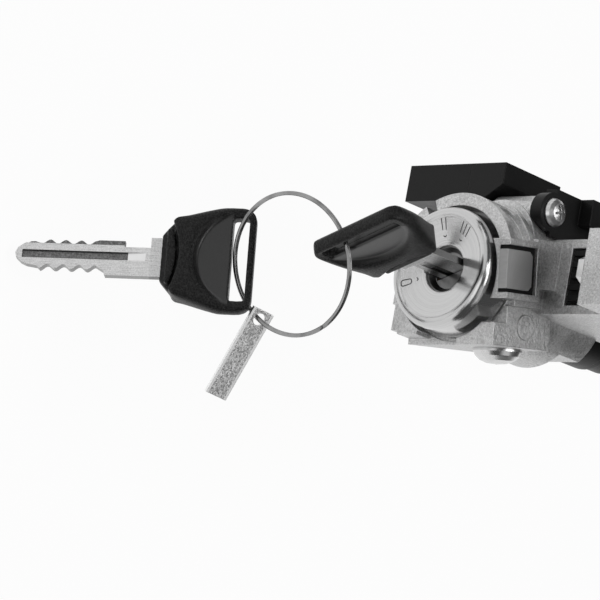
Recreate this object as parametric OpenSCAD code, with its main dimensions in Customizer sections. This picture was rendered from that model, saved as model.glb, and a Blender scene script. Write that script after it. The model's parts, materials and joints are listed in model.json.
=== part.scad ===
// Ignition switch with a steering lock, the key in the lock, and a ring
// with a spare key and a tag. Millimetres.
// Working frame: origin at the centre of the face, +X to the right seen
// from the front, +Y back into the lock, +Z up. The finished part is moved
// so that its origin lies at the centre of the column clamp.

/* [Face and lock cylinder] */
// outer diameter of the face bezel
bezel_d = 36; // [30:0.5:44]
// depth of the bezel skirt
bezel_depth = 11.5; // [8:0.5:14]
// diameter of the turning plug
plug_d = 15.2; // [13:0.1:17]
// outer diameter of the fixed sleeve
sleeve_d = 25; // [22:0.5:28]
// angle of the key at the lock position, turned about the lock axis
key_angle = 69.5; // [40:0.5:100]

/* [Housing] */
// diameter of the barrel
barrel_d = 37; // [34:0.5:42]
// distance from the face to the rear end of the barrel
barrel_end = 54; // [50:1:64]
// width of the gap between the bezel and the socket rim
socket_gap = 1.3; // [0.6:0.1:2.5]
// wall of the socket rim
socket_wall = 3.7; // [2.5:0.1:5]
// angle that the rear body is turned from the lock axis
body_turn = 10; // [0:1:15]

/* [Column clamp] */
// diameter of the steering column tube
column_d = 40; // [34:0.5:46]
// length of the clamp along the column
clamp_len = 22; // [18:1:30]
// distance of the column axis behind the face
clamp_y = 46; // [44:1:48]
// height of the column axis above the lock axis
clamp_z = 50; // [48:1:54]
// diameter of the clamp bolts
clamp_bolt_d = 6; // [5:0.5:8]

/* [Keys] */
// full length of a key
key_len = 69; // [62:0.5:78]
// width of the key blade without its shelf
blade_w = 9.3; // [8:0.1:9.6]
// width of the blade's shoulder at the head
shoulder_w = 11.9; // [11:0.1:12.2]
// thickness of the key blade
blade_t = 2.3; // [1.8:0.1:2.5]
// width of the key head
head_w = 32.4; // [28:0.2:36]
// length of the key head
head_len = 27.2; // [24:0.2:32]
// distance from the face to the far end of the inserted key head
head_out = 38.0; // [36:0.1:40]

/* [Ring and tag] */
// radius of the split ring at the middle of its wire
ring_r = 20.1; // [19:0.1:21]
// diameter of the ring wire
wire_d = 1.2; // [0.8:0.1:1.4]
// length of the tag
tag_len = 28; // [20:0.5:36]
// width of the tag
tag_w = 7; // [6:0.5:8]

/* [Hidden] */
$fn = 48;
bezel_r = bezel_d / 2;
plug_r = plug_d / 2;
sleeve_r = sleeve_d / 2;
barrel_r = barrel_d / 2;
nose_r = bezel_r - 1.1;
socket_r = bezel_r + socket_gap;
rim_r = socket_r + socket_wall;
column_r = column_d / 2;
clamp_x = -3.5;
saddle_half = column_r + 5.5;
ear_y = column_r + 6;
bolt_r = clamp_bolt_d / 2;
pod_r = 14.5;
ring_centre = [8.68, -33.83, -24.28];
ring_turn = [0, 82.75, -69.6];
spare_end = [7.79, -33.44, -39.57];
spare_turn = [-53.2, 11.24, 177.21];
tag_hole = [23.68, -29.99, -37.1];
tag_turn = [-25.8, 12.3, -98.3];
screw_x = -21.9;
screw_y = 22.7;
blade_low = -shoulder_w / 2;
blade_high = blade_low + blade_w;
shelf_high = blade_high + 1.6;
slot_low = blade_low - 0.15;
slot_high = shelf_high + 0.15;
switch_turn = 45;
wafer_y = [for (i = [0:7]) 6.4 + 3.6 * i];
slack = 0.05;

// moves the working frame to the clamp centre
module placed() {
    translate([-clamp_x, -clamp_y, -clamp_z]) children();
}

// cylinder along the lock axis
module axial(r, y0, y1) {
    translate([0, y0, 0]) rotate([-90, 0, 0]) cylinder(r = r, h = y1 - y0);
}

// cylinder along X
module across(r, x0, x1) {
    translate([x0, 0, 0]) rotate([0, 90, 0]) cylinder(r = r, h = x1 - x0);
}

// box between two corners
module span(a, b) {
    translate(a) cube(b - a);
}

// frame of the rear body, turned about a vertical line
module turned() {
    translate([0, 8, 0]) rotate([0, 0, body_turn]) translate([0, -8, 0])
        children();
}

// frame of the plug and the inserted key: X across the blade
module keyed() {
    rotate([0, key_angle, 0]) children();
}

// key frame of the inserted key, with its origin at the far end
module in_lock() {
    keyed() translate([0, -head_out, 0]) children();
}

// key frame of the spare key
module on_ring() {
    translate(spare_end) rotate(spare_turn) children();
}

// profile turned about the lock axis between two angles seen from the front
module sector(from, to) {
    rotate([-90, 0, 0]) rotate([0, 0, -to])
        rotate_extrude(angle = to - from) children();
}

// part of the socket rim between two angles
module rim_arc(from, to) {
    sector(from, to)
        polygon([[barrel_r - 1, 4.5], [rim_r, 4.5], [rim_r, 16],
            [barrel_r - 1, 16]]);
}

// cylindrical pod on the left of the barrel
module pod(r, y0, y1) {
    translate([-10, 0, 4.5]) axial(r, y0, y1);
}

// round helper at the column axis
module column(r, x0, x1) {
    translate([0, clamp_y, clamp_z]) across(r, x0, x1);
}

// outer forms of the casting behind the socket
module body_forms() {
    span([-8, 12, -14], [9, 48, 19]);
    span([6, 8, -17], [20.5, 46, 8]);
    // window block and the pad behind it
    span([-9.4, 3, 12], [7.4, 16.8, 23.6]);
    span([-10.4, 16, 12], [3.6, 27.5, 22.8]);
    // notched lug on the right
    span([9, 5, 4], [20.5, 30, 17.6]);
    translate([14.6, 18.5, 17]) cylinder(r = 3.6, h = 1.2);
    // round rib behind the lug
    translate([14.4, 0, 8.6]) axial(4, 28, 45);
}

// lower right corner block and its lug
module corner_forms() {
    span([5, 5.5, -19], [17.5, 24, -8]);
    span([4, 6.5, -21], [9.5, 13, -17]);
    span([12, 5.5, -16.5], [18.6, 14, -9]);
}

// saddle of the column clamp with its ears
module saddle_forms() {
    x1 = clamp_x + clamp_len / 2;
    x0 = clamp_x - clamp_len / 2;
    span([x0, clamp_y - column_r - 1, 12],
        [x1, clamp_y + column_r + 1, clamp_z]);
    span([x0, clamp_y - ear_y - 6, clamp_z - 9],
        [x1, clamp_y + ear_y + 6, clamp_z]);
}

// castings behind the face, hollowed round the bezel
module socket_forms() {
    difference() {
        union() {
            axial(barrel_r, 11, barrel_end);
            rim_arc(110, 205);
            rim_arc(214, 233);
            // rib behind the rim
            sector(108, 142) polygon([[barrel_r - 1, 12.2], [24.2, 12.2],
                [24.2, 14.6], [barrel_r - 1, 14.6]]);
            turned() body_forms();
            corner_forms();
        }
        axial(socket_r, -1, 12);
    }
}

// die-cast housing
module lock_housing() {
    color("silver") difference() {
        union() {
            axial(nose_r, 3.4, 14);
            socket_forms();
            pod(pod_r, 17, 42);
            pod(pod_r - 1.5, 15.5, 43);
            saddle_forms();
            // seat of the interlock module
            span([-25, 19.5, -19], [-12, 41, 0]);
            // boss under the bracket screw
            translate([screw_x, screw_y, 0]) cylinder(r = 5, h = 15.5);
        }
        // recess between the rim and its rib
        sector(116, 150) polygon([[21.9, 7], [26, 7], [26, 12.2], [21.9, 12.2]]);
        // window pocket
        turned() span([-7.6, 0, 20], [5.8, 15.4, 30]);
        // notch of the lug
        turned() span([8.8, 0, 12], [14, 10.5, 30]);
        // bores of the cylinder and the shaft
        axial(sleeve_r, 3, 38);
        axial(10.6, 37.9, 42);
        axial(3.7, 41, barrel_end + 1);
        // bolt channel
        span([clamp_x - 3.5, clamp_y - 4.5, 11],
            [clamp_x + 3.5, clamp_y + 4.5, clamp_z]);
        span([clamp_x - 2.3, 38, 6], [clamp_x + 2.3, 42, 24]);
        // column and bolt holes
        column(column_r, clamp_x - 30, clamp_x + 30);
        for (s = [-1, 1]) translate([clamp_x, clamp_y + s * ear_y, clamp_z - 12.5])
            cylinder(r = bolt_r + 0.2, h = 20);
        // room for the switch under the saddle, and the flat rear side
        span([-20, barrel_end, -5], [20, 80, 15.4]);
        span([14.4, 45, -30], [30, 60, 30]);
        // pocket of the ribbed cover
        span([clamp_x - 8.4, 24, 27], [clamp_x + 8.4, 28, 40]);
        // holes of the switch screws, the sleeve pin and the side bolt
        rotate([0, switch_turn, 0]) for (s = [-1, 1]) translate([s * 15, 0, 0])
            axial(1.6, barrel_end - 9, barrel_end + 1);
        translate([0, 30, -30]) cylinder(r = 1.5, h = 22);
        turned() translate([0, 22, 5]) {
            across(3, 16, 22);
            across(7.4, 20.5, 30);
        }
        // holes of the module screws
        for (y = [23, 38]) translate([0, y, -7.6]) across(1.3, -26, -16);
        translate([screw_x, screw_y, 5]) cylinder(r = 1.9, h = 20);
    }
}

// face cap with a rolled rim and a shallow dish
module face_bezel() {
    r = bezel_r;
    color("gainsboro") rotate([-90, 0, 0]) rotate_extrude($fn = 96)
        polygon([[r, bezel_depth], [r, 2.6], [r - 0.2, 1.5], [r - 0.7, 0.6],
            [r - 1.4, 0.12], [r - 2, 0], [r - 2.7, 0], [r - 3.1, 0.45],
            [7.8, 2.3], [6.9, 2.6], [6.9, 3.4], [9.6, 3.4], [r - 3.4, 1.8],
            [r - 2.6, 1.3], [r - 1.7, 1.5], [nose_r, 2.5],
            [nose_r, bezel_depth]]);
}

// satin plate in the window
module window_plate() {
    color("darkgray") turned() difference() {
        span([-6.4, 3, 20], [4.7, 13.9, 23.1]);
        for (x = [-6.4, 4.7]) translate([x, 13.9, 19]) rotate([0, 0, 45])
            cube([1.8, 1.8, 10], center = true);
    }
}

// seal round the window plate
module window_seal() {
    color("black") turned() difference() {
        span([-7.6, 3.4, 20], [5.8, 15.4, 22.4]);
        span([-6.4, 2, 19], [4.7, 13.9, 24]);
    }
}

// fixed sleeve of the lock cylinder
module cylinder_sleeve() {
    color("goldenrod") difference() {
        axial(sleeve_r, 3.4, 38);
        axial(plug_r + slack, 3, 39);
        translate([0, 30, -30]) cylinder(r = 1.5, h = 20);
    }
}

// turning plug with the keyway and the wafer slots
module lock_plug() {
    color("lightgray") keyed() difference() {
        union() {
            axial(plug_r, 3.45, 37);
            axial(5, 36, 40);
        }
        // funnel in front of the keyway
        translate([0, 3.4, 0]) rotate([-90, 0, 0])
            cylinder(r1 = 6.6, r2 = 5.4, h = 1.8);
        span([slot_low, 0, -blade_t / 2 - 0.12],
            [slot_high, 34.5, blade_t / 2 + 0.12]);
        for (y = wafer_y) {
            span([-9, y - 0.7, -4.5], [9, y + 0.7, 4.5]);
            translate([0, y, 5.6]) across(0.7, -2.2, 2.2);
        }
        // slot for the tang of the shaft
        span([-6, 39.2, -1.5], [6, 41, 1.5]);
        // groove of the clip
        difference() {
            axial(6, 38.05, 39.05);
            axial(4.4, 38, 39.1);
        }
    }
}

// wafers held flush by the key
module wafer_tumblers() {
    color("khaki") keyed() for (y = wafer_y) difference() {
        intersection() {
            axial(plug_r - 0.1, y - 0.7, y + 0.7);
            span([-9, y - 1, -4.5], [9, y + 1, 4.5]);
        }
        span([slot_low, y - 1, -blade_t / 2 - 0.12],
            [slot_high, y + 1, blade_t / 2 + 0.12]);
    }
}

// springs of the wafers
module wafer_springs() {
    color("gray") keyed() for (y = wafer_y)
        translate([0, y, 5.6]) across(0.7, -2.2, 2.2, $fn = 16);
}

// pin that holds the sleeve
module sleeve_pin() {
    color("dimgray") translate([0, 30, -17.5]) cylinder(r = 1.5, h = 7.5);
}

// tail shaft with the cam and the tang
module drive_shaft() {
    color("gray") keyed() difference() {
        union() {
            axial(3.6, 40, 64);
            span([-4.4, 39.2, -1.5], [4.4, 41, 1.5]);
            translate([2, 0, 0]) axial(6.5, 40.2, 41.8);
        }
        span([-6, 62, 1.8], [6, 66, 6]);
    }
}

// ring clip at the tail of the plug
module shaft_clip() {
    color("gray") keyed() difference() {
        axial(7.2, 38.05, 39.05);
        axial(4.4, 38, 39.1);
        span([-1.5, 37, 0], [1.5, 40, 9]);
    }
}

// spring that brings the key back from III to II
module return_spring() {
    color("gray") {
        for (y = [56.6, 57.6, 58.6]) translate([0, y, 0]) rotate([-90, 0, 0])
            rotate_extrude() translate([5.4, 0]) circle(r = 0.45, $fn = 10);
        span([-0.4, 56.6, 4.9], [0.4, 58.6, 5.9]);
        translate([0, 57.6, 0]) across(0.4, 5.4, 11, $fn = 10);
    }
}

// steering lock bolt, drawn back while the key is in
module lock_bolt() {
    color("slategray") difference() {
        union() {
            span([clamp_x - 3.45, clamp_y - 4.45, 11.3],
                [clamp_x + 3.45, clamp_y + 4.45, 29.3]);
            span([clamp_x - 2, 38.6, 11.3], [clamp_x + 2, 42, 14.5]);
        }
        translate([clamp_x, clamp_y, 10]) cylinder(r = 2.4, h = 13);
    }
}

// spring inside the lock bolt
module bolt_spring() {
    color("gray") translate([clamp_x, clamp_y, 11]) difference() {
        cylinder(r = 2, h = 11.6, $fn = 24);
        translate([0, 0, -1]) cylinder(r = 1.3, h = 14, $fn = 24);
    }
}

// black ribbed cover on the front of the saddle
module bolt_cover() {
    color("black") {
        span([clamp_x - 8.4, 26, 27], [clamp_x + 8.4, 28, 40]);
        for (i = [0:4]) span([clamp_x - 7.6 + 3.3 * i, 24.6, 28],
            [clamp_x - 6 + 3.3 * i, 26.5, 39]);
    }
}

// other half of the column clamp
module clamp_cap() {
    x0 = clamp_x - clamp_len / 2;
    x1 = clamp_x + clamp_len / 2;
    color("silver") difference() {
        union() {
            column(saddle_half, x0, x1);
            span([x0, clamp_y - ear_y - 6, clamp_z + 0.4],
                [x1, clamp_y + ear_y + 6, clamp_z + 9]);
        }
        span([x0 - 1, clamp_y - 60, clamp_z - 60],
            [x1 + 1, clamp_y + 60, clamp_z]);
        column(column_r, x0 - 1, x1 + 1);
        for (s = [-1, 1]) translate([clamp_x, clamp_y + s * ear_y, 0])
            cylinder(r = bolt_r + 0.2, h = clamp_z + 40);
        for (s = [-1, 1]) translate([clamp_x, clamp_y + s * ear_y, clamp_z + 9])
            cylinder(r = 5.4, h = 40);
    }
}

// the two clamp bolts, with round heads left by their sheared tops
module clamp_bolts() {
    color("gray") for (s = [-1, 1])
        translate([clamp_x, clamp_y + s * ear_y, clamp_z]) {
            translate([0, 0, -8]) cylinder(r = bolt_r, h = 17);
            translate([0, 0, 9]) cylinder(r = 5, h = 4);
            translate([0, 0, 13]) cylinder(r1 = 3, r2 = 2.4, h = 1.5);
            translate([0, 0, -12.5]) cylinder(r = 5, h = 3.5, $fn = 6);
            translate([0, 0, -10]) cylinder(r = bolt_r, h = 3);
        }
}

// dome-headed bolt on the right side
module side_bolt() {
    color("lightgray") turned() translate([0, 22, 5]) {
        across(3, 16.4, 20.6);
        rotate([0, 90, 0]) rotate_extrude()
            polygon([[0, 20.5], [7, 20.5], [7, 21.3], [6.4, 22.6],
                [5, 23.9], [3, 24.7], [0, 25]]);
    }
}

// case of the electrical switch
module switch_case() {
    color("black") difference() {
        union() {
            axial(12.5, barrel_end, 69);
            rotate([0, switch_turn, 0]) intersection() {
                axial(18.2, barrel_end + 0.3, barrel_end + 3);
                span([-20, barrel_end, -3.4], [20, barrel_end + 4, 3.4]);
            }
        }
        axial(11, barrel_end + 1.5, 70);
        axial(3.8, barrel_end - 1, 60);
        rotate([0, switch_turn, 0]) for (s = [-1, 1]) translate([s * 15, 0, 0])
            axial(1.6, barrel_end - 1, barrel_end + 5);
    }
}

// rotor of the electrical switch
module switch_rotor() {
    color("ivory") keyed() difference() {
        union() {
            axial(9.6, 60, 63.6);
            axial(6, 59.6, 64.4);
        }
        difference() {
            axial(3.6, 59, 66);
            span([-6, 62, 1.8], [6, 66, 6]);
        }
    }
}

// fixed contacts and their terminals
module switch_contacts() {
    color("goldenrod") for (i = [0:4]) rotate([0, 72 * i, 0])
        translate([7.6, 0, 0]) {
            axial(1.1, 64.2, 69, $fn = 16);
            span([-0.4, 68, -1.6], [0.4, 77, 1.6]);
        }
}

// end cover with the connector socket
module switch_cover() {
    color("black") difference() {
        union() {
            axial(12.5, 69, 71);
            axial(11.6, 71, 80);
        }
        axial(10.2, 71, 81);
        for (i = [0:4]) rotate([0, 72 * i, 0]) translate([7.6, 0, 0]) {
            span([-0.4, 68, -1.6], [0.4, 77, 1.6]);
        }
    }
}

// the two screws of the switch
module switch_screws() {
    color("silver") rotate([0, switch_turn, 0])
        for (s = [-1, 1]) translate([s * 15, 0, 0]) {
            axial(1.6, barrel_end - 8, barrel_end + 3);
            axial(2.4, barrel_end + 3, barrel_end + 5);
        }
}

// black interlock module on the left side
module interlock_case() {
    color("black") difference() {
        union() {
            span([-36, 17.6, -34], [-25, 43, -10]);
            span([-38, 24, -30], [-36, 37, -14]);
        }
        span([-34.6, 19, -32.6], [-26.4, 41.6, -9]);
    }
}

// its separate upper end with the sloped edge
module interlock_cover() {
    color("black") difference() {
        span([-36, 17.6, -10], [-25, 43, 3]);
        span([-34.6, 19, -11], [-29.5, 41.6, 1.6]);
        span([-34.6, 19, -11], [-26.4, 41.6, -5.5]);
        translate([-25, 17, -4]) rotate([0, 57, 0])
            span([-20, -1, 0], [10, 30, 12]);
        for (y = [23, 38]) translate([0, y, -7.6]) across(1.3, -28, -24);
    }
}

// coil and its bobbin
module interlock_coil() {
    color("peru") difference() {
        union() {
            translate([-30.5, 30.3, -31]) cylinder(r = 3.8, h = 14);
            span([-34.6, 25, -32.6], [-26.4, 35.6, -30.8]);
            span([-34.6, 25, -18], [-26.4, 35.6, -16.6]);
        }
        translate([-30.5, 30.3, -33]) cylinder(r = 2.05, h = 30);
    }
}

// plunger of the coil
module interlock_plunger() {
    color("gray") translate([-30.5, 30.3, 0]) {
        translate([0, 0, -30]) cylinder(r = 2, h = 19.2);
        translate([0, 0, -12.2]) cylinder(r = 3.2, h = 1.4);
    }
}

// spring of the plunger
module plunger_spring() {
    color("gray") translate([-30.5, 30.3, -16.6]) difference() {
        cylinder(r = 3.1, h = 4.2, $fn = 24);
        translate([0, 0, -1]) cylinder(r = 2.4, h = 7, $fn = 24);
    }
}

// black bracket that the dome screw holds
module module_bracket() {
    color("black") difference() {
        union() {
            span([-29, screw_y, 15.5], [-15, 42, 19.5]);
            translate([screw_x, screw_y, 15.5]) cylinder(r = 5.8, h = 4);
            span([-29, 34, 15.5], [-21, 42, 24]);
        }
        pod(pod_r, 0, 60);
        turned() body_forms();
        translate([screw_x, screw_y, 10]) cylinder(r = 1.9, h = 20);
        span([clamp_x - clamp_len / 2, 25, 0], [20, 80, 60]);
    }
}

// screws of the module and the bracket
module module_screws() {
    color("silver") {
        for (y = [23, 38]) translate([0, y, -7.6]) {
            across(1.3, -26.4, -18);
            across(1.9, -28, -26.4);
        }
        translate([screw_x, screw_y, 0]) {
            translate([0, 0, 8]) cylinder(r = 1.9, h = 11.5);
            // dome head with a cross recess
            difference() {
                translate([0, 0, 19.5]) rotate_extrude()
                    polygon([[0, 0], [4.2, 0], [4.2, 0.5], [3.7, 1.5],
                        [2.6, 2.3], [0, 2.8]]);
                for (a = [20, 110]) rotate([0, 0, a])
                    span([-2, -0.35, 20.7], [2, 0.35, 24]);
            }
        }
    }
}

// wavy edges of the blade at a distance from the far end of the key
function upper_cut(y) = blade_high + 0.75 + 0.6 * cos((y - 50.2) * 80);
function lower_cut(y) = blade_low + 2.15 - 0.7 * cos((y - 47.9) * 78);

// blade with a shoulder, a milled groove, a thin shelf and wavy cuts
module blade_form() {
    tip = key_len;
    waves = [for (i = [0:32]) 45.6 + 0.5 * i];
    difference() {
        linear_extrude(blade_t, center = true) polygon(concat(
            [[-blade_low, 17], [-blade_low, 29.9], [blade_high - 0.5, 29.9],
                [blade_high - 0.5, 37.5], [shelf_high, 37.5], [shelf_high, 45]],
            [for (y = waves) [upper_cut(y), y]],
            [[blade_high + 0.7, tip - 5.4], [blade_high + 0.6, tip - 4.2],
                [blade_high - 0.3, tip - 2.4], [1.8, tip - 0.7], [0.2, tip],
                [-1.1, tip - 0.3], [-2.4, tip - 1.7], [-3.2, tip - 3.4],
                [-3.7, tip - 6.5]],
            [for (i = [0:32]) [lower_cut(waves[32 - i]), waves[32 - i]]],
            [[blade_low + 1.4, 43.2], [blade_low, 42.7], [blade_low, 17]]));
        // milled groove along each face, with a run-out towards the head
        for (s = [0, 1]) mirror([0, 0, s]) translate([-1.2, 0, blade_t / 2])
            rotate([90, 0, 90]) linear_extrude(2.4)
                polygon([[30.6, 0], [37.1, -0.6], [tip - 2, -0.6],
                    [tip - 2, 1], [30.6, 1]]);
        // shelf above the edge of the plate
        span([blade_high, 37.4, blade_t / 2 - 0.7], [9, tip + 1, 3]);
    }
}

// outline of the head: wide at the far end, with a nose round the shoulder
module head_outline() {
    w = head_w / 2;
    hull() {
        for (s = [-1, 1]) {
            translate([s * (w - 4.4), 4.4]) circle(r = 4.4);
            translate([s * (w - 4.2), 9]) circle(r = 4.2);
            translate([s * (w - 7.2), head_len - 6.6]) circle(r = 3.4);
            translate([s * 6.4, head_len - 1]) circle(r = 1);
        }
    }
}

// moulded head with soft sides, a D-shaped dish on each face, a ring slot
// and a collar round the blade
module head_form() {
    arc_y = 48;
    arc_r = 26.4;
    difference() {
        intersection() {
            translate([0, 0, -6]) linear_extrude(12) head_outline();
            // side view
            rotate([90, 0, 90]) linear_extrude(60, center = true)
                polygon([[-0.1, 0.9], [0.25, 1.6], [0.8, 2.2], [1.8, 2.6],
                    [9, 2.8], [14, 4], [18, 4.5], [22, 4.4], [28, 3.6],
                    [28, -3.6], [22, -4.4], [18, -4.5], [14, -4], [9, -2.8],
                    [1.8, -2.6], [0.8, -2.2], [0.25, -1.6], [-0.1, -0.9]]);
            // end view
            rotate([90, 0, 0]) linear_extrude(80, center = true)
                polygon([[-17, 1], [-16, 2], [-14.5, 3], [-12, 3.9], [-8, 4.5],
                    [8, 4.5], [12, 3.9], [14.5, 3], [16, 2], [17, 1], [17, -1],
                    [16, -2], [14.5, -3], [12, -3.9], [8, -4.5], [-8, -4.5],
                    [-12, -3.9], [-14.5, -3], [-16, -2], [-17, -1]]);
        }
        // D-shaped dishes
        for (s = [0, 1]) mirror([0, 0, s]) translate([0, 2, 2.1])
            cylinder(r1 = 14.6, r2 = 15.8, h = 4, $fn = 72);
        // ring slot
        span([-12.6, 2, -6], [12.6, 6.6, 6]);
        // step down to the nose, with the collar left standing in it
        for (s = [0, 1]) mirror([0, 0, s]) difference() {
            translate([0, arc_y, 1.5]) cylinder(r = arc_r, h = 6, $fn = 72);
            intersection() {
                translate([0, arc_y, 0])
                    cylinder(r = arc_r - 0.7, h = 3.4, $fn = 72);
                span([-8.4, 20, 0], [8.4, 25.2, 4]);
            }
        }
        // pocket of the blade
        span([blade_low, 17, -blade_t / 2], [-blade_low, 30, blade_t / 2]);
    }
}

// blade of the key in the lock
module key_blade() {
    color("gainsboro") in_lock() blade_form();
}

// head of the key in the lock
module key_head() {
    color("black") in_lock() head_form();
}

// blade of the spare key
module spare_blade() {
    color("gainsboro") on_ring() blade_form();
}

// head of the spare key
module spare_head() {
    color("black") on_ring() head_form();
}

// split ring, as one closed turn
module key_ring() {
    color("silver") translate(ring_centre) rotate(ring_turn)
        rotate_extrude($fn = 96) translate([ring_r, 0])
            circle(r = wire_d / 2, $fn = 16);
}

// blank tag with a hole for the ring
module key_tag() {
    color("silver") translate(tag_hole) rotate(tag_turn) difference() {
        span([-tag_w / 2, -2.8, -0.5], [tag_w / 2, tag_len - 2.8, 0.5]);
        cylinder(r = 1.9, h = 4, center = true);
    }
}

placed() lock_housing();
placed() face_bezel();
placed() window_plate();
placed() window_seal();
placed() cylinder_sleeve();
placed() lock_plug();
placed() wafer_tumblers();
placed() wafer_springs();
placed() sleeve_pin();
placed() drive_shaft();
placed() shaft_clip();
placed() return_spring();
placed() lock_bolt();
placed() bolt_spring();
placed() bolt_cover();
placed() clamp_cap();
placed() clamp_bolts();
placed() side_bolt();
placed() switch_case();
placed() switch_rotor();
placed() switch_contacts();
placed() switch_cover();
placed() switch_screws();
placed() interlock_case();
placed() interlock_cover();
placed() interlock_coil();
placed() interlock_plunger();
placed() plunger_spring();
placed() module_bracket();
placed() module_screws();
placed() key_blade();
placed() key_head();
placed() spare_blade();
placed() spare_head();
placed() key_ring();
placed() key_tag();
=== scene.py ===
import json
import math

import bmesh
import bpy
from mathutils import Euler, Matrix, Vector


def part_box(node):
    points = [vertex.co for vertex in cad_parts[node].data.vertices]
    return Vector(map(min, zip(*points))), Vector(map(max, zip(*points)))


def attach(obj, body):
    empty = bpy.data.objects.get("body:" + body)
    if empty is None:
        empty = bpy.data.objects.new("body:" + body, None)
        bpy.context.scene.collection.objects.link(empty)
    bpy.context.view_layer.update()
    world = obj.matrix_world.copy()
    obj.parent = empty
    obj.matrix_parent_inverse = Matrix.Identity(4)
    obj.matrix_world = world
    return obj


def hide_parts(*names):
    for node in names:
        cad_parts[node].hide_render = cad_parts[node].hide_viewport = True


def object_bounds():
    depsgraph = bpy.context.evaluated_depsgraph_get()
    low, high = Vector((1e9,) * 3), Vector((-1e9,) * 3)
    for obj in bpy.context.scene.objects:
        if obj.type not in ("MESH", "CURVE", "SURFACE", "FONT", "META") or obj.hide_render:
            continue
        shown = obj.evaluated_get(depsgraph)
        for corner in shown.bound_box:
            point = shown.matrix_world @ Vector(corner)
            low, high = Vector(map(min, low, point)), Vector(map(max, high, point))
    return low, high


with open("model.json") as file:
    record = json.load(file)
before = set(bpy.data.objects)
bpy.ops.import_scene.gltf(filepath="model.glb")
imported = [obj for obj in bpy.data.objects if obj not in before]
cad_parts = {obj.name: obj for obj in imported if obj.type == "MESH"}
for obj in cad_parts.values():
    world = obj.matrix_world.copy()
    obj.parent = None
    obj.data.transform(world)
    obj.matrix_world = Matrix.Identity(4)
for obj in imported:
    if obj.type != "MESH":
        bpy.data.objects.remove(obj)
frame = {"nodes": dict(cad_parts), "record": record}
cad_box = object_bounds()
nodes = frame["nodes"]

MM = 0.001

# Face of the lock, taken from the bezel's box: the front plane and the lock axis.
bezel_low, bezel_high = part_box("face_bezel")
FACE = Vector(((bezel_low.x + bezel_high.x) / 2, bezel_low.y,
               (bezel_low.z + bezel_high.z) / 2))

# Key frames: X across the blade, Y from the far end of the head to the tip, Z through it.
KEY_ANGLE = math.radians(69.5)
HEAD_OUT = 38 * MM
KEY_FRAME = (Matrix.Translation(FACE) @ Matrix.Rotation(KEY_ANGLE, 4, "Y")
             @ Matrix.Translation((0, -HEAD_OUT, 0)))
SPARE_END = Vector((7.79, -33.44, -39.57)) * MM
SPARE_TURN = Euler([math.radians(a) for a in (-53.2, 11.24, 177.21)])
SPARE_FRAME = Matrix.Translation(FACE + SPARE_END) @ SPARE_TURN.to_matrix().to_4x4()
TAG_HOLE = Vector((23.68, -29.99, -37.1)) * MM
TAG_TURN = Euler([math.radians(a) for a in (-25.8, 12.3, -98.3)])
TAG_FRAME = Matrix.Translation(FACE + TAG_HOLE) @ TAG_TURN.to_matrix().to_4x4()
RING_TURN = Euler([math.radians(a) for a in (0, 82.75, -69.6)])

# Measures of a key, along Y from the far end of its head: the D-shaped dish, the ring slot
# and the collar of the head, then the shoulder, groove and shelf of the blade. The last three
# are half the blade's thickness, the same less the groove's depth, and the share of a normal
# along Z under which a surface counts as a cut flank.
HEAD_DISH_Y = 2 * MM
HEAD_DISH_IN, HEAD_DISH_OUT = 14.3 * MM, 15.2 * MM
SLOT_EDGE = 6.6 * MM
COLLAR_Y, COLLAR_END_Y = 22.5 * MM, 25 * MM
SHOULDER_Y = 29.9 * MM
GROOVE_Y = 36.4 * MM
GROOVE_HALF = 1.25 * MM
SHELF_Y = 37.4 * MM
SHELF_X = 3.35 * MM
BLADE_FACE = 1.15 * MM
GROOVE_FLOOR = 0.55 * MM
FLANK_TURN = 0.55

# Half the tag's width inside of its plain border.
TAG_BORDER = 2.7 * MM

# Rays of an edge rounding in a material.
EDGE_SAMPLES = 6


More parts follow.
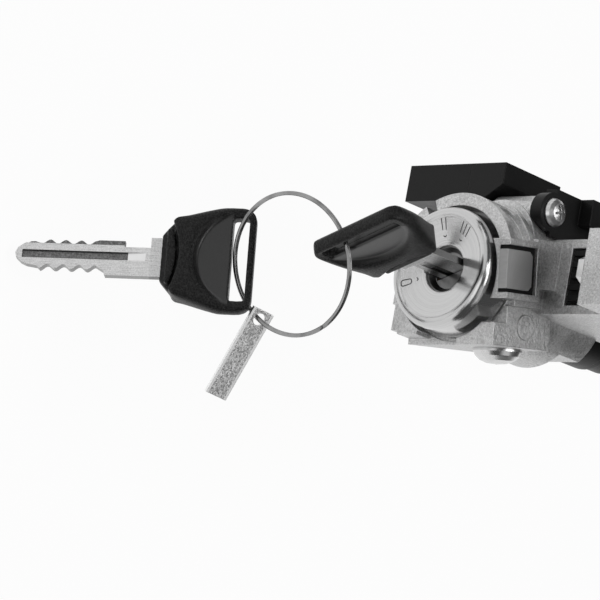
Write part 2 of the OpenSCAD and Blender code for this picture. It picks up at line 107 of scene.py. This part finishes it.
class Surface:
    """A procedural material on one Principled shader, in the part's own coordinates."""

    def __init__(self, name, metallic, **sockets):
        self.material = bpy.data.materials.new(name)
        self.material.use_nodes = True
        self.nodes = self.material.node_tree.nodes
        self.links = self.material.node_tree.links
        self.shader = self.nodes["Principled BSDF"]
        self.shader.inputs["Metallic"].default_value = metallic
        for socket, value in sockets.items():
            self.shader.inputs[socket.replace("_", " ")].default_value = value
        coordinates = self.add("ShaderNodeTexCoord")
        self.place = coordinates.outputs["Object"]
        self.facing = coordinates.outputs["Normal"]

    def add(self, kind, inputs=(), **settings):
        node = self.nodes.new(kind)
        for key, value in settings.items():
            setattr(node, key, value)
        for key, value in dict(inputs).items():
            if isinstance(value, bpy.types.NodeSocket):
                self.links.new(value, node.inputs[key])
            else:
                node.inputs[key].default_value = value
        return node

    def math(self, operation, a, b=0.0):
        return self.add("ShaderNodeMath", {0: a, 1: b}, operation=operation).outputs[0]

    def vector(self, operation, a, b):
        return self.add("ShaderNodeVectorMath", {0: a, 1: b}, operation=operation)

    def local(self, matrix):
        """Coordinates in a frame of the part: its three axes, each in metres."""
        shifted = self.vector("SUBTRACT", self.place, matrix.translation).outputs[0]
        axes = matrix.to_3x3().transposed()
        return [self.vector("DOT_PRODUCT", shifted, axes[i]).outputs["Value"]
                for i in range(3)]

    def stretched(self, axes, factors):
        """Coordinates with each axis scaled, for scratches that run one way."""
        parts = [self.math("MULTIPLY", a, f) for a, f in zip(axes, factors)]
        return self.add("ShaderNodeCombineXYZ", dict(enumerate(parts))).outputs[0]

    def noise(self, scale, detail=3.0, roughness=0.55, vector=None):
        return self.add("ShaderNodeTexNoise", {
            "Vector": vector or self.place, "Scale": scale, "Detail": detail,
            "Roughness": roughness}).outputs["Fac"]

    def spread(self, value, low, high, start=0.0, end=1.0):
        return self.add("ShaderNodeMapRange", {
            "Value": value, "From Min": start, "From Max": end,
            "To Min": low, "To Max": high}).outputs["Result"]

    def mix(self, share, a, b):
        node = self.add("ShaderNodeMix", data_type="RGBA")
        for socket, value in ((node.inputs[0], share), (node.inputs[6], a), (node.inputs[7], b)):
            if isinstance(value, bpy.types.NodeSocket):
                self.links.new(value, socket)
            else:
                socket.default_value = value
        return node.outputs[2]

    def colour(self, value):
        self.links.new(value, self.shader.inputs["Base Color"])

    def rough(self, value):
        self.links.new(value, self.shader.inputs["Roughness"])

    def worn(self, radius):
        """1 along edges and 0 on plain faces, from how far the edge rounding bends the normal."""
        rounded = self.add("ShaderNodeBevel", {"Radius": radius}, samples=EDGE_SAMPLES).outputs[0]
        plain = self.add("ShaderNodeNewGeometry").outputs["Normal"]
        same = self.vector("DOT_PRODUCT", rounded, plain).outputs["Value"]
        bent, plain_face = 0.8, 0.99
        return self.spread(same, 1, 0, bent, plain_face)

    def relief(self, height, depth, edge=0.0):
        """Bump of a depth in metres, over edges rounded by the radius edge."""
        node = self.add("ShaderNodeBump", {
            "Height": height, "Strength": 1.0, "Distance": depth})
        if edge:
            rounded = self.add("ShaderNodeBevel", {"Radius": edge}, samples=EDGE_SAMPLES)
            self.links.new(rounded.outputs[0], node.inputs["Normal"])
        self.links.new(node.outputs[0], self.shader.inputs["Normal"])


def grey(v):
    return (v, v, v, 1.0)


def cast_metal():
    """Die-cast metal: fine even grain, pits and lighter edges."""
    s = Surface("cast_metal", metallic=0.9)
    cloud = s.noise(90, 4)
    grain = s.noise(1500, 3, 0.7)
    pits = s.noise(650, 2)
    speck = s.noise(3800, 2, 0.7)
    fine = s.math("ADD", s.math("MULTIPLY", grain, 0.4), s.math("MULTIPLY", speck, 0.35))
    tone = s.math("ADD", s.math("MULTIPLY", cloud, 0.25), fine)
    plain = s.mix(s.spread(tone, 0, 1, 0.38, 0.62), grey(0.36), grey(0.8))
    s.colour(s.mix(s.math("MULTIPLY", s.worn(0.4 * MM), 0.45), plain, grey(0.92)))
    s.rough(s.spread(cloud, 0.34, 0.52, 0.3, 0.7))
    s.relief(s.math("ADD", grain, s.math("MULTIPLY", pits, 1.5)), 0.12 * MM, 0.4 * MM)
    return s.material


def spun_steel():
    """Polished steel with fine rings about the lock axis."""
    s = Surface("face_steel", metallic=1.0)
    x, y, z = s.local(Matrix.Translation(FACE))
    radius = s.math("SQRT", s.math("ADD", s.math("MULTIPLY", x, x), s.math("MULTIPLY", z, z)))
    rings = s.noise(9000, 2, vector=s.stretched((radius, y, x), (1, 1, 0)))
    cloud = s.noise(120, 3)
    s.colour(s.mix(s.spread(rings, 0, 1, 0.3, 0.7), grey(0.5), grey(0.64)))
    s.rough(s.spread(cloud, 0.13, 0.19, 0.3, 0.7))
    s.relief(rings, 0.006 * MM, 0.7 * MM)
    return s.material


def satin_plate():
    """Dull steel, brushed one way."""
    s = Surface("plate_steel", metallic=1.0)
    axes = s.local(Matrix.Identity(4))
    lines = s.noise(1.0, 2, vector=s.stretched(axes, (200, 6000, 200)))
    s.colour(s.mix(lines, grey(0.4), grey(0.54)))
    s.rough(s.spread(lines, 0.5, 0.64))
    s.relief(lines, 0.01 * MM, 0.3 * MM)
    return s.material


def rubber():
    """Matt black rubber."""
    s = Surface("seal_rubber", metallic=0.0, Specular_IOR_Level=0.2)
    grain = s.noise(2500, 3)
    s.colour(s.mix(grain, grey(0.003), grey(0.012)))
    s.rough(s.spread(grain, 0.55, 0.75))
    s.relief(grain, 0.03 * MM, 0.2 * MM)
    return s.material


def black_plastic():
    """Black plastic with a fine moulded grain."""
    s = Surface("black_plastic", metallic=0.0, Specular_IOR_Level=0.2)
    grain = s.noise(2600, 2, 0.6)
    cloud = s.noise(70, 3)
    s.colour(s.mix(cloud, grey(0.005), grey(0.012)))
    s.rough(s.spread(cloud, 0.34, 0.46, 0.3, 0.7))
    s.relief(grain, 0.035 * MM, 0.35 * MM)
    return s.material


def head_plastic(name, matrix):
    """Grained plastic of a key head, smoother and greyer in the D-shaped dish."""
    s = Surface(name, metallic=0.0)
    x, y, _ = s.local(matrix)
    dish_y = s.math("SUBTRACT", y, HEAD_DISH_Y)
    away = s.math("SQRT", s.math("ADD", s.math("MULTIPLY", x, x),
                                 s.math("MULTIPLY", dish_y, dish_y)))
    far_bar = s.math("LESS_THAN", y, SLOT_EDGE)
    outside = s.math("MAXIMUM", s.spread(away, 0, 1, HEAD_DISH_IN, HEAD_DISH_OUT), far_bar)
    grain = s.noise(2200, 3, 0.65)
    cloud = s.noise(110, 3)
    plain = s.mix(cloud, grey(0.012), grey(0.022))
    body = s.mix(s.spread(grain, 0, 1, 0.4, 0.68), grey(0.002), grey(0.034))
    s.colour(s.mix(outside, plain, body))
    s.rough(s.spread(outside, 0.3, 0.34))
    s.links.new(s.spread(outside, 0.6, 0.2), s.shader.inputs["Specular IOR Level"])
    s.relief(s.math("MULTIPLY", grain, s.spread(outside, 0.2, 1)), 0.16 * MM, 0.3 * MM)
    return s.material


def blade_nickel(name, matrix):
    """Nickel with fine scratches and a grainy milled groove and shelf, with painted shade on the
    cut flanks, along the groove's walls and partly over the milled recess, and a painted highlight
    on the groove's run-out.
    """
    s = Surface(name, metallic=1.0)
    x, y, z = s.local(matrix)
    scratches = s.noise(1.0, 3, vector=s.stretched((x, y, z), (5000, 260, 5000)))
    grain = s.noise(1700, 3, 0.7)
    cloud = s.noise(160, 3)
    off_middle = s.math("ABSOLUTE", x)
    depth = s.math("ABSOLUTE", z)
    shelf = s.math("MULTIPLY", s.math("GREATER_THAN", x, SHELF_X),
                   s.math("GREATER_THAN", y, SHELF_Y))
    in_groove = s.math("LESS_THAN", off_middle, GROOVE_HALF)
    floor_deep = s.math("LESS_THAN", depth, GROOVE_FLOOR + 0.12 * MM)
    groove = s.math("MULTIPLY", s.math("MULTIPLY", in_groove, floor_deep),
                    s.math("GREATER_THAN", y, GROOVE_Y))
    sunk = s.math("LESS_THAN", depth, BLADE_FACE - 0.06 * MM)
    # The groove's run-out, sloping up to the face, is coloured near white: a painted highlight.
    painted_highlight_run_out = s.math("MULTIPLY", s.math("MULTIPLY", in_groove, sunk),
                     s.math("LESS_THAN", y, GROOVE_Y))
    turned = s.vector("DOT_PRODUCT", s.facing, matrix.to_3x3().col[2]).outputs["Value"]
    painted_shade_flank = s.math("LESS_THAN", s.math("ABSOLUTE", turned), FLANK_TURN)
    shoulder = s.math("LESS_THAN", y, SHOULDER_Y)
    milled = s.math("MAXIMUM", shelf, groove)
    blasted = s.math("MAXIMUM", milled, shoulder)
    speck = s.noise(3200, 2, 0.7)
    worn = s.math("ADD", s.math("MULTIPLY", scratches, 0.45), s.math("MULTIPLY", speck, 0.55))
    face = s.mix(s.spread(worn, 0, 1, 0.36, 0.6), grey(0.52), grey(0.84))
    # Cut flanks take a dark grey in place of the nickel tone as painted shade; the run-out's near
    # white is a painted highlight.
    tone = s.mix(painted_shade_flank, s.mix(painted_highlight_run_out, face, grey(0.97)), s.mix(speck, grey(0.16), grey(0.4)))
    # Towards the groove's walls the milled tone goes almost black: painted shade.
    groove_wall_shade = s.spread(off_middle, 0, 1, 0.6 * GROOVE_HALF, 0.88 * GROOVE_HALF)
    milled_tone_with_painted_shade = s.mix(s.math("MULTIPLY", groove, groove_wall_shade),
                        s.mix(s.spread(grain, 0, 1, 0.3, 0.7), grey(0.05), grey(0.3)), grey(0.02))
    # The milled groove and shelf take the dark milled tone, partly for their grain and partly as
    # painted shade of the recess.
    s.colour(s.mix(s.math("MULTIPLY", milled, 0.95), tone, milled_tone_with_painted_shade))
    s.rough(s.math("ADD", s.spread(cloud, 0.24, 0.34), s.math("MULTIPLY", blasted, 0.2)))
    height = s.math("ADD", s.math("MULTIPLY", scratches, 0.15),
                    s.math("MULTIPLY", grain, blasted))
    s.relief(height, 0.06 * MM, 0.15 * MM)
    return s.material


def bright_metal(name, dark, light, smooth, dull, edge=0.2 * MM, depth=0.012 * MM):
    """Plain metal between two tones, and between a smooth and a dull roughness."""
    s = Surface(name, metallic=1.0)
    cloud = s.noise(260, 4)
    fine = s.noise(3000, 2)
    s.colour(s.mix(s.spread(cloud, 0, 1, 0.3, 0.7), dark, light))
    s.rough(s.spread(cloud, smooth, dull, 0.3, 0.7))
    s.relief(fine, depth, edge)
    return s.material


def tag_metal():
    """Glittering blasted aluminium with a plainer, lighter border."""
    s = Surface("tag_metal", metallic=1.0)
    x, _, _ = s.local(TAG_FRAME)
    flakes = s.add("ShaderNodeTexVoronoi", {"Vector": s.place, "Scale": 2600})
    value = s.add("ShaderNodeSeparateColor", {0: flakes.outputs["Color"]}).outputs[0]
    border = s.math("GREATER_THAN", s.math("ABSOLUTE", x), TAG_BORDER)
    glitter = s.mix(value, grey(0.26), grey(0.95))
    s.colour(s.mix(border, glitter, s.mix(value, grey(0.84), grey(0.94))))
    s.rough(s.spread(value, 0.25, 0.5))
    s.relief(s.math("MULTIPLY", value, s.math("SUBTRACT", 1.0, border)), 0.09 * MM, 0.2 * MM)
    return s.material


def moulded(name, dark, light):
    """Pale plastic between two tones."""
    s = Surface(name, metallic=0.0)
    cloud = s.noise(150, 3)
    s.colour(s.mix(cloud, dark, light))
    s.rough(s.spread(cloud, 0.3, 0.45))
    s.relief(s.noise(2500, 2), 0.02 * MM, 0.2 * MM)
    return s.material


def ink():
    """Black paint of the marks."""
    s = Surface("mark_ink", metallic=0.0)
    cloud = s.noise(1800, 3)
    s.colour(s.mix(cloud, grey(0.01), grey(0.05)))
    s.rough(s.spread(cloud, 0.45, 0.65))
    return s.material


LOOKS = {
    "cast_metal": cast_metal(),
    "face_steel": spun_steel(),
    "plate_steel": satin_plate(),
    "seal_rubber": rubber(),
    "black_plastic": black_plastic(),
    "wire_steel": bright_metal("wire_steel", grey(0.2), grey(0.36), smooth=0.12, dull=0.2,
                               edge=0.1 * MM, depth=0.003 * MM),
    "tag_metal": tag_metal(),
    "brass": bright_metal("brass", (0.5, 0.36, 0.14, 1), (0.66, 0.5, 0.22, 1),
                          smooth=0.25, dull=0.4),
    "copper_wire": bright_metal("copper_wire", (0.4, 0.17, 0.08, 1), (0.55, 0.26, 0.13, 1),
                                smooth=0.3, dull=0.45),
    "steel": bright_metal("steel", grey(0.34), grey(0.48), smooth=0.28, dull=0.42),
    "bright_steel": bright_metal("bright_steel", grey(0.6), grey(0.74), smooth=0.24, dull=0.36),
    # The plug's tones are kept dark as painted shade of the keyway recess it sits in.
    "plug_zinc": bright_metal("plug_zinc", grey(0.13), grey(0.24), smooth=0.26, dull=0.4),
    "rotor_plastic": moulded("rotor_plastic", (0.6, 0.56, 0.45, 1), (0.72, 0.68, 0.57, 1)),
}
OWN_LOOKS = {
    "key_blade": blade_nickel("key_blade_nickel", KEY_FRAME),
    "spare_blade": blade_nickel("spare_blade_nickel", SPARE_FRAME),
    "key_head": head_plastic("key_head_plastic", KEY_FRAME),
    "spare_head": head_plastic("spare_head_plastic", SPARE_FRAME),
}

for part in frame["record"]["subparts"]:
    name = part["node"]
    look = OWN_LOOKS.get(name) or LOOKS[part["material_slot"]]
    nodes[name].data.materials.clear()
    nodes[name].data.materials.append(look)


# Moulded heads: cell of the fine skin, rounds of relaxing, and the share of the relaxing that
# the dish and collar take. The share rises outside of the dish, before the collar and, by a
# part, at the collar's end, each over a length.
SKIN_CELL = 0.28 * MM
SKIN_ROUNDS = 260
SKIN_FIRM = 0.12
SOFT_FROM, SOFT_RISE = 14 * MM, 2.5 * MM
COLLAR_RISE, COLLAR_END_RISE = 3 * MM, 1.5 * MM
COLLAR_END_PART = 0.3


def rise(past, length):
    """0 before a place, 1 from a length past it."""
    return min(max(past / length, 0), 1)


def head_softness(place):
    """How far a point of the head is rounded: fully on the outer edges, less at dish and collar."""
    outside = rise(math.hypot(place.x, place.y - HEAD_DISH_Y) - SOFT_FROM, SOFT_RISE)
    before_collar = rise(COLLAR_Y - place.y, COLLAR_RISE)
    collar_end = rise(place.y - COLLAR_END_Y, COLLAR_END_RISE)
    share = max(outside * before_collar, COLLAR_END_PART * collar_end)
    return SKIN_FIRM + (1 - SKIN_FIRM) * share


def moulded_head(name, node, matrix, body):
    """The node's own solid with a fine skin and the soft edges of a moulding."""
    draft = bpy.data.objects.new(name, nodes[node].data.copy())
    bpy.context.scene.collection.objects.link(draft)
    remesh = draft.modifiers.new("fine_skin", "REMESH")
    remesh.mode = "VOXEL"
    remesh.voxel_size = SKIN_CELL
    remesh.use_smooth_shade = True
    seen = draft.evaluated_get(bpy.context.evaluated_depsgraph_get())
    mesh = bpy.data.meshes.new_from_object(seen)
    bpy.data.objects.remove(draft)
    mesh.name = name
    mesh.materials.clear()
    mesh.materials.append(OWN_LOOKS[node])
    piece = bpy.data.objects.new(name, mesh)
    bpy.context.scene.collection.objects.link(piece)
    soft = piece.vertex_groups.new(name="soft")
    into_key = matrix.inverted()
    for vertex in mesh.vertices:
        soft.add([vertex.index], head_softness(into_key @ vertex.co), "REPLACE")
    relax = piece.modifiers.new("round_edges", "SMOOTH")
    relax.factor = 0.5
    relax.iterations = SKIN_ROUNDS
    relax.vertex_group = soft.name
    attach(piece, body)
    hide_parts(node)


moulded_head("key_head_skin", "key_head", KEY_FRAME, "key")
moulded_head("spare_head_skin", "spare_head", SPARE_FRAME, "spare_key")


def mesh_piece(name, verts, faces, body, look, smooth=False):
    """A piece of the scene with its normals outward and the body it rides on."""
    mesh = bpy.data.meshes.new(name)
    mesh.from_pydata(verts, [], faces)
    shape = bmesh.new()
    shape.from_mesh(mesh)
    bmesh.ops.recalc_face_normals(shape, faces=shape.faces)
    shape.to_mesh(mesh)
    shape.free()
    for polygon in mesh.polygons:
        polygon.use_smooth = smooth
    mesh.materials.append(look)
    piece = bpy.data.objects.new(name, mesh)
    bpy.context.scene.collection.objects.link(piece)
    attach(piece, body)
    return piece


# Marks on the face. Angles are seen from the front, from +X towards +Z.
DISH_OUT, DISH_IN = 14.9, 7.8
DISH_FRONT, DISH_BACK = 0.45, 2.3
MARK_R = 12.9
MARK_LONG = 3.4
MARK_GAP = 1.45
TICK_R, TICK_IN = 0.75, 3.0
STROKE = 0.3
PROUD, SUNK = 0.03, 0.05


def dish_point(radius, angle, lift):
    """Point on the dish at a radius and angle, raised by lift; all in millimetres."""
    depth = DISH_FRONT + (DISH_OUT - radius) / (DISH_OUT - DISH_IN) * (DISH_BACK - DISH_FRONT)
    return FACE + Vector((radius * math.cos(angle), depth - lift,
                          radius * math.sin(angle))) * MM


def ribbon(points, angle, width, closed=False):
    """A raised band along points (across, outward) about a mark's middle, on the dish."""
    verts, faces = [], []
    count = len(points)
    for i, (u, v) in enumerate(points):
        before = points[i - 1] if i or closed else points[i]
        after = points[(i + 1) % count] if i + 1 < count or closed else points[i]
        run = Vector((after[0] - before[0], after[1] - before[1])).normalized()
        side = Vector((-run.y, run.x)) * width / 2
        for sign, lift in ((-1, -SUNK), (-1, PROUD), (1, PROUD), (1, -SUNK)):
            radius = MARK_R + v + side.y * sign
            verts.append(dish_point(radius, angle + (u + side.x * sign) / MARK_R, lift))
    for i in range(count if closed else count - 1):
        a, b = 4 * i, 4 * ((i + 1) % count)
        for k in range(4):
            faces.append((a + k, b + k, b + (k + 1) % 4, a + (k + 1) % 4))
    if not closed:
        faces += [(0, 1, 2, 3), tuple(range(4 * count - 1, 4 * count - 5, -1))]
    return verts, faces


def joined(shapes):
    """Several (vertices, faces) pairs as one."""
    verts, faces = [], []
    for v, f in shapes:
        faces += [tuple(i + len(verts) for i in face) for face in f]
        verts += v
    return verts, faces


def strokes(count, angle):
    """Radial strokes side by side, for I, II and III."""
    return joined([ribbon([(MARK_GAP * (i - (count - 1) / 2), v) for v in
                           (-MARK_LONG / 2, 0, MARK_LONG / 2)], angle, STROKE)
                   for i in range(count)])


def zero(angle):
    """A rounded oblong, long side outward."""
    half_w, half_l, corner, steps = 0.85, 1.6, 0.6, 4
    points = []
    for quarter, (sx, sy) in enumerate(((1, 1), (-1, 1), (-1, -1), (1, -1))):
        for i in range(steps + 1):
            a = math.radians(90 * quarter + 90 * i / steps)
            points.append((sx * (half_w - corner) + corner * math.cos(a),
                           sy * (half_l - corner) + corner * math.sin(a)))
    return ribbon(points, angle, STROKE, closed=True)


def tick(angle):
    """A small arc beside the plug that shows where the key points."""
    flat = 0.8
    points = [(TICK_R * math.cos(math.radians(a)),
               flat * TICK_R * math.sin(math.radians(a)) - TICK_IN)
              for a in range(200, 341, 20)]
    return ribbon(points, angle, STROKE)


MARKS = {"mark_0": (0, -69.6), "mark_1": (1, -121.0), "mark_2": (2, -172.6),
         "mark_3": (3, -211.0)}
mark_look = ink()
for name, (count, degrees) in MARKS.items():
    angle = math.radians(degrees)
    main = strokes(count, angle) if count else zero(angle)
    verts, faces = joined([main, tick(angle)])
    mesh_piece(name, verts, faces, "housing", mark_look)


def split_ring():
    """Two turns of flattened wire with a crossing where the ring opens."""
    low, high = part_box("key_ring")
    middle = (low + high) / 2
    turn = RING_TURN.to_matrix()
    ring_r, wire_r = 20.1 * MM, 0.6 * MM
    half_wide, half_thick, pitch = 0.97 * wire_r, 0.48 * wire_r, 1.02 * wire_r
    steps, section = 288, 12
    open_at, cross = math.radians(118), math.radians(14)
    verts, faces = [], []
    for i in range(steps + 1):
        swept = 4 * math.pi * i / steps
        share = min(max((swept - 2 * math.pi) / cross + 0.5, 0), 1)
        share = share * share * (3 - 2 * share)
        lift = (share - 0.5) * pitch
        angle = open_at + swept
        for k in range(section):
            t = 2 * math.pi * k / section
            r = ring_r + half_wide * math.cos(t)
            z = lift + half_thick * math.sin(t)
            verts.append(middle + turn @ Vector((r * math.cos(angle), r * math.sin(angle), z)))
    for i in range(steps):
        for k in range(section):
            n = (k + 1) % section
            faces.append((i * section + k, (i + 1) * section + k,
                          (i + 1) * section + n, i * section + n))
    faces.append(tuple(range(section)))
    faces.append(tuple(steps * section + k for k in reversed(range(section))))
    piece = mesh_piece("split_ring", verts, faces, "ring",
                       LOOKS["wire_steel"], smooth=True)
    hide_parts("key_ring")


split_ring()


# Camera: from the front and above, rolled so that the keys point to the left.
TOWARDS = Vector((0.186, -0.695, 0.695)).normalized()
IMAGE_UP = Vector((-0.966, -0.259, 0.0))
RIGHT = IMAGE_UP.cross(TOWARDS).normalized()
IMAGE_UP = TOWARDS.cross(RIGHT)
AIM = FACE + Vector((16.4, -23.9, -28.3)) * MM
CAMERA_FAR = 0.9
FIELD = 170.4 * MM
camera_data = bpy.data.cameras.new("camera")
camera = bpy.data.objects.new("camera", camera_data)
bpy.context.scene.collection.objects.link(camera)
bpy.context.scene.camera = camera
SENSOR = 36
camera_data.sensor_width = SENSOR
camera_data.lens = SENSOR * CAMERA_FAR / FIELD
camera.matrix_world = Matrix.Translation(AIM + TOWARDS * CAMERA_FAR) @ Matrix(
    (RIGHT, IMAGE_UP, TOWARDS)).transposed().to_4x4()


def softbox(name, direction, distance, size, watts):
    """A square lamp that faces the part from a direction, in metres and watts."""
    data = bpy.data.lights.new(name, "AREA")
    data.shape, data.size, data.energy = "SQUARE", size, watts
    lamp = bpy.data.objects.new(name, data)
    bpy.context.scene.collection.objects.link(lamp)
    away = Vector(direction).normalized()
    lamp.location = AIM + away * distance
    lamp.rotation_mode = "QUATERNION"
    lamp.rotation_quaternion = away.to_track_quat("Z", "Y")


softbox("light_over", (-0.1, 0.2, 1.0), distance=0.8, size=0.5, watts=3.0)
softbox("light_right", (0.52, 0.17, 0.84), distance=0.8, size=0.5, watts=0.5)
softbox("light_front", (-0.48, -0.78, 0.4), distance=1.2, size=1.0, watts=2.3)
softbox("light_left", (0.3, -1.0, 0.4), distance=0.9, size=0.5, watts=1.0)
softbox("light_top", (-1.0, -0.3, 0.4), distance=0.8, size=0.4, watts=0.6)

SKY_STRENGTH = 0.08
world = bpy.data.worlds.new("studio")
bpy.context.scene.world = world
world.use_nodes = True
world.node_tree.nodes["Background"].inputs["Color"].default_value = grey(1.0)
world.node_tree.nodes["Background"].inputs["Strength"].default_value = SKY_STRENGTH


def floor():
    """Pale floor that reads white in the picture and keeps a soft shadow."""
    half, gap, glow_share = 3.0, 2 * MM, 0.95
    verts = [(x, y, cad_box[0].z - gap) for x, y in
             ((-half, -half), (half, -half), (half, half), (-half, half))]
    mesh = bpy.data.meshes.new("floor")
    mesh.from_pydata(verts, [], [(0, 1, 2, 3)])
    s = Surface("floor_white", metallic=0.0)
    cloud = s.noise(3, 2)
    s.colour(s.mix(cloud, grey(0.86), grey(0.9)))
    s.rough(s.spread(cloud, 0.7, 0.8))
    path = s.add("ShaderNodeLightPath")
    seen = s.math("MAXIMUM", path.outputs["Is Camera Ray"],
                  s.math("MAXIMUM", path.outputs["Is Glossy Ray"],
                         path.outputs["Is Transmission Ray"]))
    glow = s.add("ShaderNodeEmission", {"Color": grey(1.0), "Strength": 1.0})
    blend = s.add("ShaderNodeMixShader", {"Fac": s.math("MULTIPLY", seen, glow_share)})
    s.links.new(s.shader.outputs[0], blend.inputs[1])
    s.links.new(glow.outputs[0], blend.inputs[2])
    s.links.new(blend.outputs[0], s.nodes["Material Output"].inputs["Surface"])
    mesh.materials.append(s.material)
    plane = bpy.data.objects.new("floor", mesh)
    bpy.context.scene.collection.objects.link(plane)


floor()

bpy.context.scene.view_settings.view_transform = "Standard"
